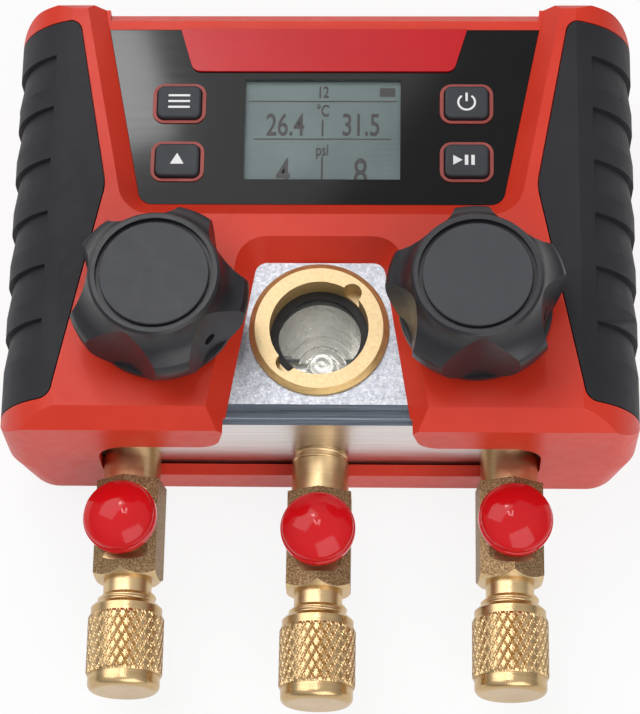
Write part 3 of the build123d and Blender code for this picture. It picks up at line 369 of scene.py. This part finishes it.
# dark copy of the brushed aluminium: its dark base colour is painted shade, standing in for the
# dark band on the chamfer
alu_edge_painted_shade = sawn_aluminium("aluminium_edge_painted_shade", (110, 116, 126), (78, 84, 94))
window_clear = clear_glass("window_clear", (60, 70, 72), 0.04, 0.14)
sight_clear = clear_glass("sight_clear", (226, 232, 230), 0.02, 0.1)
steel_zinc = steel("steel_zinc", (176, 178, 182))
steel_bright = steel("steel_bright", (196, 197, 200))
lcd_back = lcd_glass()
lcd_ink = moulded("lcd_ink", (60, 54, 54), (52, 46, 48), 0.4, 0.6, 0.001)
key_ink = moulded("key_ink", (236, 236, 236), (228, 228, 228), 0.5, 0.3, 0.004)

FINISH = {
    "housing_red": red_plastic,
    "grip_rubber": rubber,
    "panel_black": panel_black,
    "window_clear": window_clear,
    "plate_red": plate_red,
    "bezel_red": bezel_red,
    "lcd_grey": lcd_back,
    "board_green": board_green,
    "contact_metal": steel_bright,
    "block_aluminium": alu_milled,
    "ring_brass": brass_face,
    "gasket_black": gasket,
    "sight_glass": sight_clear,
    "fitting_brass": brass_turned,
    "battery_jacket": jacket,
    "screw_steel": steel_zinc,
    "sensor_steel": steel_bright,
    "hook_black": hook_black,
    "knob_black": knob_black,
    "knob_cap_grey": cap_grey,
    "stem_steel": steel_bright,
    "disc_seal": seal_white,
    "key_rubber": key_rubber,
    "cap_brass": brass_cap,
    "seal_rubber": gasket,
    "dust_cap_red": dust_red,
}


def paint(node, material, test=None):
    """Gives a CAD node a material, or only its faces that pass the test(centre in mm, normal)."""
    obj = nodes[node]
    if test is None:
        obj.data.materials.clear()
        obj.data.materials.append(material)
        return
    index = len(obj.data.materials)
    obj.data.materials.append(material)
    for polygon in obj.data.polygons:
        if test(polygon.center / MM, polygon.normal):
            polygon.material_index = index


for part in frame["record"]["subparts"]:
    paint(part["node"], FINISH[part["material_slot"]])

block_low, block_high = box_mm("manifold_block")
glass_low, glass_high = box_mm("sight_glass_lens")
glass_at = (glass_low + glass_high) / 2
bore_r = glass_high.x - glass_at.x + 0.2
bore_top_z = block_high.z - 0.1


def in_sight_bore(at, _):
    return math.hypot(at.x - glass_at.x, at.y - glass_at.y) < bore_r and at.z < bore_top_z


def on_painted_shade_sliver(at, _):
    return abs(at.x) < SLIVER_HALF_X and at.y < SLIVER_HIGH_Y and at.z > SLIVER_LOW_Z


def on_hexagon(axis):
    """Test for the flats of the hexagon round a port axis."""
    def test(at, n):
        return abs(n.y) < 0.2 and HEX_LOW_R < math.hypot(at.x - axis.x, at.z - axis.z) < HEX_HIGH_R
    return test


# lower face of the block: brushed aluminium whose light colour holds a painted reflection
paint("manifold_block", alu_side_painted_reflection, lambda at, n: n.y < -0.9)
# chamfer of the lower front edge: dark aluminium as painted shade
paint("manifold_block", alu_edge_painted_shade, lambda at, n: n.y < -0.5 and n.z > 0.5)
paint("manifold_block", turned_aluminium(glass_at), in_sight_bore)
# a strip of the red shell gets the dark aluminium: painted shade that carries the dark band of the
# chamfer across it
paint("front_shell", alu_edge_painted_shade, on_painted_shade_sliver)
paint("sight_glass_ring", brass_edge, lambda at, n: n.z < 0.9)
for port in PORTS:
    paint(f"port_fitting_{port}", brass_cast, on_hexagon(port_axis(port)))


# ---------------------------------------------------------------- mesh helpers
def place(name, data):
    """New object with some data, linked into the scene."""
    obj = bpy.data.objects.new(name, data)
    bpy.context.scene.collection.objects.link(obj)
    return obj


def add_mesh(name, points, faces, material, body, smooth=False):
    """Mesh object from points in mm that rides on a body."""
    mesh = bpy.data.meshes.new(name)
    mesh.from_pydata([Vector(p) * MM for p in points], [], faces)
    mesh.validate()
    mesh.materials.append(material)
    mesh.polygons.foreach_set("use_smooth", [smooth] * len(mesh.polygons))
    obj = place(name, mesh)
    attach(obj, body)
    return obj


def groove_depth(across):
    """Share of the full height at some pitches from a row of V grooves."""
    from_groove = abs(across - round(across))
    return min(1.0, from_groove / KNURL_GROOVE)


def add_knurl(name, axis, low_y, high_y, root_r, material, body):
    """Sleeve of flat-topped diamonds between two crossing rows of helical grooves."""
    pitch = math.tau * root_r / KNURL_STARTS
    step_y = pitch / math.tan(math.radians(KNURL_ANGLE)) / KNURL_STEPS
    rows = round((high_y - low_y) / step_y)
    around = KNURL_STARTS * KNURL_STEPS
    points = []
    for row in range(rows + 1):
        y = low_y + (high_y - low_y) * row / rows
        for column in range(around):
            rising = groove_depth((column + row) / KNURL_STEPS)
            falling = groove_depth((column - row) / KNURL_STEPS)
            height = KNURL_HEIGHT * min(rising, falling) if 0 < row < rows else 0
            angle = math.tau * column / around
            radius = root_r + height
            points.append((axis.x + radius * math.cos(angle), y, axis.z + radius * math.sin(angle)))
    faces = []
    for row in range(rows):
        for column in range(around):
            a, b = row * around + column, row * around + (column + 1) % around
            faces.append((a, a + around, b + around, b))
    return add_mesh(name, points, faces, material, body)


def add_thread(name, axis, low_y, high_y, root_r, height):
    """Helical ridge along the port axis that runs out at both ends."""
    turns = (high_y - low_y) / THREAD_PITCH
    steps = max(24, round(turns * THREAD_STEPS))
    points, faces = [], []
    foot = THREAD_PITCH * THREAD_FOOT
    crest = foot * THREAD_CREST
    for step in range(steps + 1):
        share = step / steps
        angle = math.tau * turns * share
        y = low_y + (high_y - low_y) * share
        rise = height * min(1.0, THREAD_FADE * share, THREAD_FADE * (1 - share))
        profile = ((-foot, -THREAD_SINK), (-crest, rise), (crest, rise), (foot, -THREAD_SINK))
        for along, out in profile:
            radius = root_r + out
            points.append((axis.x + radius * math.cos(angle), y + along,
                           axis.z + radius * math.sin(angle)))
    for step in range(steps):
        for side in range(3):
            a = step * 4 + side
            faces.append((a, a + 1, a + 5, a + 4))
    return add_mesh(name, points, faces, brass_turned, "housing", smooth=True)


def add_print(name, shapes, low_z, material, body):
    """Flat printed shapes: closed outlines raised from a height just above a surface."""
    mesh = bmesh.new()
    for outline in shapes:
        corners = [mesh.verts.new(Vector((x, y, low_z)) * MM) for x, y in outline]
        mesh.faces.new(corners)
    bmesh.ops.recalc_face_normals(mesh, faces=mesh.faces)
    raised = bmesh.ops.extrude_face_region(mesh, geom=list(mesh.faces))
    moved = [v for v in raised["geom"] if isinstance(v, bmesh.types.BMVert)]
    bmesh.ops.translate(mesh, verts=moved, vec=Vector((0, 0, PRINT_T * MM)))
    bmesh.ops.recalc_face_normals(mesh, faces=mesh.faces)
    data = bpy.data.meshes.new(name)
    mesh.to_mesh(data)
    mesh.free()
    data.materials.append(material)
    obj = place(name, data)
    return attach(obj, body)


def add_text(name, text, x, y, height, z, material, body):
    """Figures as a thin raised print, centred on (x, y, z)."""
    curve = bpy.data.curves.new(name, "FONT")
    curve.body = text
    curve.size = height * MM * TEXT_SIZE
    curve.align_x = "CENTER"
    curve.align_y = "CENTER"
    curve.offset = TEXT_BOLD * MM
    curve.extrude = PRINT_T / 2 * MM
    source = place(name + "_curve", curve)
    bpy.context.view_layer.update()
    mesh = bpy.data.meshes.new_from_object(source)
    bpy.data.objects.remove(source)
    squeeze = Matrix.Diagonal((TEXT_SQUEEZE, 1, 1, 1))
    mesh.transform(Matrix.Translation(Vector((x, y, z)) * MM) @ squeeze)
    mesh.materials.clear()
    mesh.materials.append(material)
    obj = place(name, mesh)
    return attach(obj, body)


# ---------------------------------------------------------------- outlines
def rectangle(low_x, low_y, high_x, high_y):
    return [(low_x, low_y), (high_x, low_y), (high_x, high_y), (low_x, high_y)]


def stroke(a, b, width):
    """Outline of a straight line of some width."""
    a, b = Vector(a), Vector(b)
    across = (b - a).orthogonal().normalized() * width / 2
    return [tuple(a + across), tuple(a - across), tuple(b - across), tuple(b + across)]


def polar(x, y, radius, degrees):
    """Point at a radius and angle from (x, y)."""
    angle = math.radians(degrees)
    return x + radius * math.cos(angle), y + radius * math.sin(angle)


def ring_arc(x, y, radius, width, start, end, steps=20):
    """Outline pieces of an open ring."""
    inner, outer = radius - width / 2, radius + width / 2
    pieces = []
    for step in range(steps):
        a = start + (end - start) * step / steps
        b = start + (end - start) * (step + 1) / steps
        pieces.append([polar(x, y, inner, a), polar(x, y, outer, a),
                       polar(x, y, outer, b), polar(x, y, inner, b)])
    return pieces


def triangle(x, y, size, direction):
    """Triangle that points along a direction."""
    return [polar(x, y, size, direction + turn) for turn in (0, 120, 240)]


def key_symbol(row, side, x, y):
    """Outlines of the sign on a key: power, play and pause, an arrow, or the bars of a menu."""
    if (row, side) == ("upper", "right"):
        ring = ring_arc(x, y - 0.1, 1.7, 0.42, 125, 415)
        return ring + [stroke((x, y + 0.1), (x, y + 2.0), 0.45)]
    if (row, side) == ("lower", "right"):
        return [triangle(x - 2.1, y, 1.25, 0),
                rectangle(x - 0.4, y - 1.1, x + 0.3, y + 1.1),
                rectangle(x + 0.9, y - 1.1, x + 1.6, y + 1.1)]
    if row == "lower":
        return [triangle(x, y - 0.2, 1.6, 90)]
    return [rectangle(x - 2.2, y + bar, x + 2.2, y + bar + 0.45) for bar in (-1.5, -0.2, 1.1)]


# ---------------------------------------------------------------- brass details
for port in PORTS:
    axis = port_axis(port)
    low, high = box_mm(f"hose_cap_{port}")
    seal_end = box_mm(f"hose_cap_seal_{port}")[1].y
    add_knurl(f"hose_cap_knurl_{port}", axis, low.y + KNURL_FOOT, high.y - KNURL_TOP,
              (high.x - low.x) / 2, brass_cap, f"hose_cap_{port}")
    add_thread(f"flare_thread_{port}", axis, high.y + 0.35, high.y + 1.75,
               FLARE_ROOT_R, FLARE_HEIGHT)
    add_thread(f"flare_thread_covered_{port}", axis, seal_end + 0.4, high.y + 0.4,
               COVERED_ROOT_R, COVERED_HEIGHT)
add_thread("port_thread_centre", port_axis("centre"), block_low.y - 2.1, block_low.y - 0.1,
           PORT_ROOT_R, PORT_HEIGHT)

# ---------------------------------------------------------------- display
lcd_z = box_mm("lcd_module")[1].z + LCD_LIFT
win_low, win_high = box_mm("lcd_window")
centre_x = (win_low.x + win_high.x) / 2
status_y = win_high.y - STATUS_DROP
middle_y = win_high.y - MIDDLE_DROP
add_print("lcd_lines", [
    rectangle(win_low.x + 0.6, status_y, win_high.x - 0.6, status_y + LINE_W),
    rectangle(win_low.x + 1.8, middle_y, win_high.x - 1.8, middle_y + LINE_W),
    rectangle(centre_x - 0.2, middle_y + 0.8, centre_x + 0.2, middle_y + 4.4),
    rectangle(centre_x - 0.2, win_low.y + 0.2, centre_x + 0.2, middle_y - 3.8),
    rectangle(win_high.x - 4.2, status_y + 1.2, win_high.x - 1.0, status_y + 3.2),
], lcd_z, lcd_ink, "housing")
for name, text, x, y, height in (
    ("lcd_upper_left", "26.4", -7.6, middle_y + 3.1, 5.0),
    ("lcd_upper_right", "31.5", 7.8, middle_y + 3.1, 5.0),
    ("lcd_lower_left", "4", -7.8, win_low.y + 1.6, 6.4),
    ("lcd_lower_right", "8", 7.8, win_low.y + 1.6, 6.4),
    ("lcd_status", "12", 0, status_y + 2.1, 2.6),
    ("lcd_upper_unit", "°C", 0, middle_y + 6.4, 2.6),
    ("lcd_lower_unit", "psi", 0, middle_y - 2.4, 2.6),
):
    add_text(name, text, x, y, height, lcd_z + PRINT_T / 2, lcd_ink, "housing")

# ---------------------------------------------------------------- key symbols
for side in SIDES:
    for row in ("upper", "lower"):
        key = f"key_{row}_{side}"
        low, high = box_mm(key)
        shapes = key_symbol(row, side, (low.x + high.x) / 2, (low.y + high.y) / 2)
        add_print(f"{key}_symbol", shapes, high.z + KEY_LIFT, key_ink, key)


# ---------------------------------------------------------------- stage, light and camera
def add_area(name, at, target, size, power):
    """Rectangular lamp that looks at a target."""
    data = bpy.data.lights.new(name, "AREA")
    data.shape = "RECTANGLE"
    data.size, data.size_y = size[0] * MM, size[1] * MM
    data.energy = power
    lamp = place(name, data)
    lamp.location = Vector(at) * MM
    lamp.rotation_mode = "QUATERNION"
    lamp.rotation_quaternion = (Vector(target) - Vector(at)).to_track_quat("-Z", "Y")


def larger(tree, first, second):
    """Output of a node that gives the larger of two values."""
    either = tree.nodes.new("ShaderNodeMath")
    either.operation = "MAXIMUM"
    tree.links.new(first, either.inputs[0])
    tree.links.new(second, either.inputs[1])
    return either.outputs[0]


def shows_white(tree, base, strength):
    """Mixes a glow over base for rays straight from the camera, gloss or glass."""
    rays = tree.nodes.new("ShaderNodeLightPath")
    seen = rays.outputs["Is Camera Ray"]
    for kind in ("Is Glossy Ray", "Is Transmission Ray"):
        seen = larger(tree, seen, rays.outputs[kind])
    share = tree.nodes.new("ShaderNodeMath")
    share.operation = "MULTIPLY"
    share.inputs[1].default_value = strength
    tree.links.new(seen, share.inputs[0])
    mix = tree.nodes.new("ShaderNodeMixShader")
    tree.links.new(share.outputs[0], mix.inputs["Fac"])
    tree.links.new(base.outputs[0], mix.inputs[1])
    return mix


def make_floor():
    """Large white floor that keeps a light shadow."""
    corners = rectangle(-FLOOR_HALF, -FLOOR_HALF, FLOOR_HALF, FLOOR_HALF)
    mesh = bpy.data.meshes.new("floor")
    mesh.from_pydata([Vector((x, y, FLOOR_Z)) * MM for x, y in corners], [], [(0, 1, 2, 3)])
    floor = place("floor", mesh)
    material = bpy.data.materials.new("floor_white")
    material.use_nodes = True
    tree = material.node_tree
    shader = tree.nodes["Principled BSDF"]
    shader.inputs["Base Color"].default_value = linear(FLOOR_COLOUR)
    shader.inputs["Roughness"].default_value = 0.9
    glow = tree.nodes.new("ShaderNodeEmission")
    mix = shows_white(tree, shader, FLOOR_GLOW)
    tree.links.new(glow.outputs[0], mix.inputs[2])
    tree.links.new(mix.outputs[0], tree.nodes["Material Output"].inputs["Surface"])
    mesh.materials.append(material)


def make_world():
    """Even grey light, with a white that rises with height in what gloss and glass show."""
    world = bpy.data.worlds.new("studio")
    world.use_nodes = True
    tree = world.node_tree
    ambient = tree.nodes["Background"]
    ambient.inputs["Color"].default_value = linear(WHITE)
    ambient.inputs["Strength"].default_value = AMBIENT
    white = tree.nodes.new("ShaderNodeBackground")
    white.inputs["Color"].default_value = linear(WHITE)
    rays = tree.nodes.new("ShaderNodeLightPath")
    direction = tree.nodes.new("ShaderNodeTexCoord")
    parts = tree.nodes.new("ShaderNodeSeparateXYZ")
    tree.links.new(direction.outputs["Generated"], parts.inputs[0])
    height = tree.nodes.new("ShaderNodeMapRange")
    tree.links.new(parts.outputs["Z"], height.inputs["Value"])
    set_range(height, WORLD_RISE)
    strength = larger(tree, height.outputs["Result"], rays.outputs["Is Camera Ray"])
    tree.links.new(strength, white.inputs["Strength"])
    mix = shows_white(tree, ambient, 1.0)
    tree.links.new(white.outputs[0], mix.inputs[2])
    tree.links.new(mix.outputs[0], tree.nodes["World Output"].inputs["Surface"])
    bpy.context.scene.world = world


def make_camera():
    """Camera that stands where the photograph was taken from."""
    data = bpy.data.cameras.new("camera")
    data.lens = CAMERA_LENS
    data.sensor_width = SENSOR_WIDTH
    data.clip_start, data.clip_end = 0.05, 10
    camera = place("camera", data)
    elevation = math.radians(CAMERA_ELEVATION)
    forward = Vector((0, math.cos(elevation), -math.sin(elevation)))
    right = Vector((1, 0, 0))
    up = right.cross(forward)
    yaw = Quaternion(up, math.radians(CAMERA_YAW))
    forward, right = yaw @ forward, yaw @ right
    roll = Quaternion(forward, math.radians(CAMERA_ROLL))
    right, up = roll @ right, roll @ up
    turn = Matrix((right, up, -forward)).transposed()
    camera.matrix_world = Matrix.Translation(CAMERA_AT * MM) @ turn.to_4x4()
    bpy.context.scene.camera = camera


make_floor()
make_world()
make_camera()
for lamp in LAMPS:
    add_area(*lamp)
bpy.context.scene.view_settings.view_transform = "Standard"
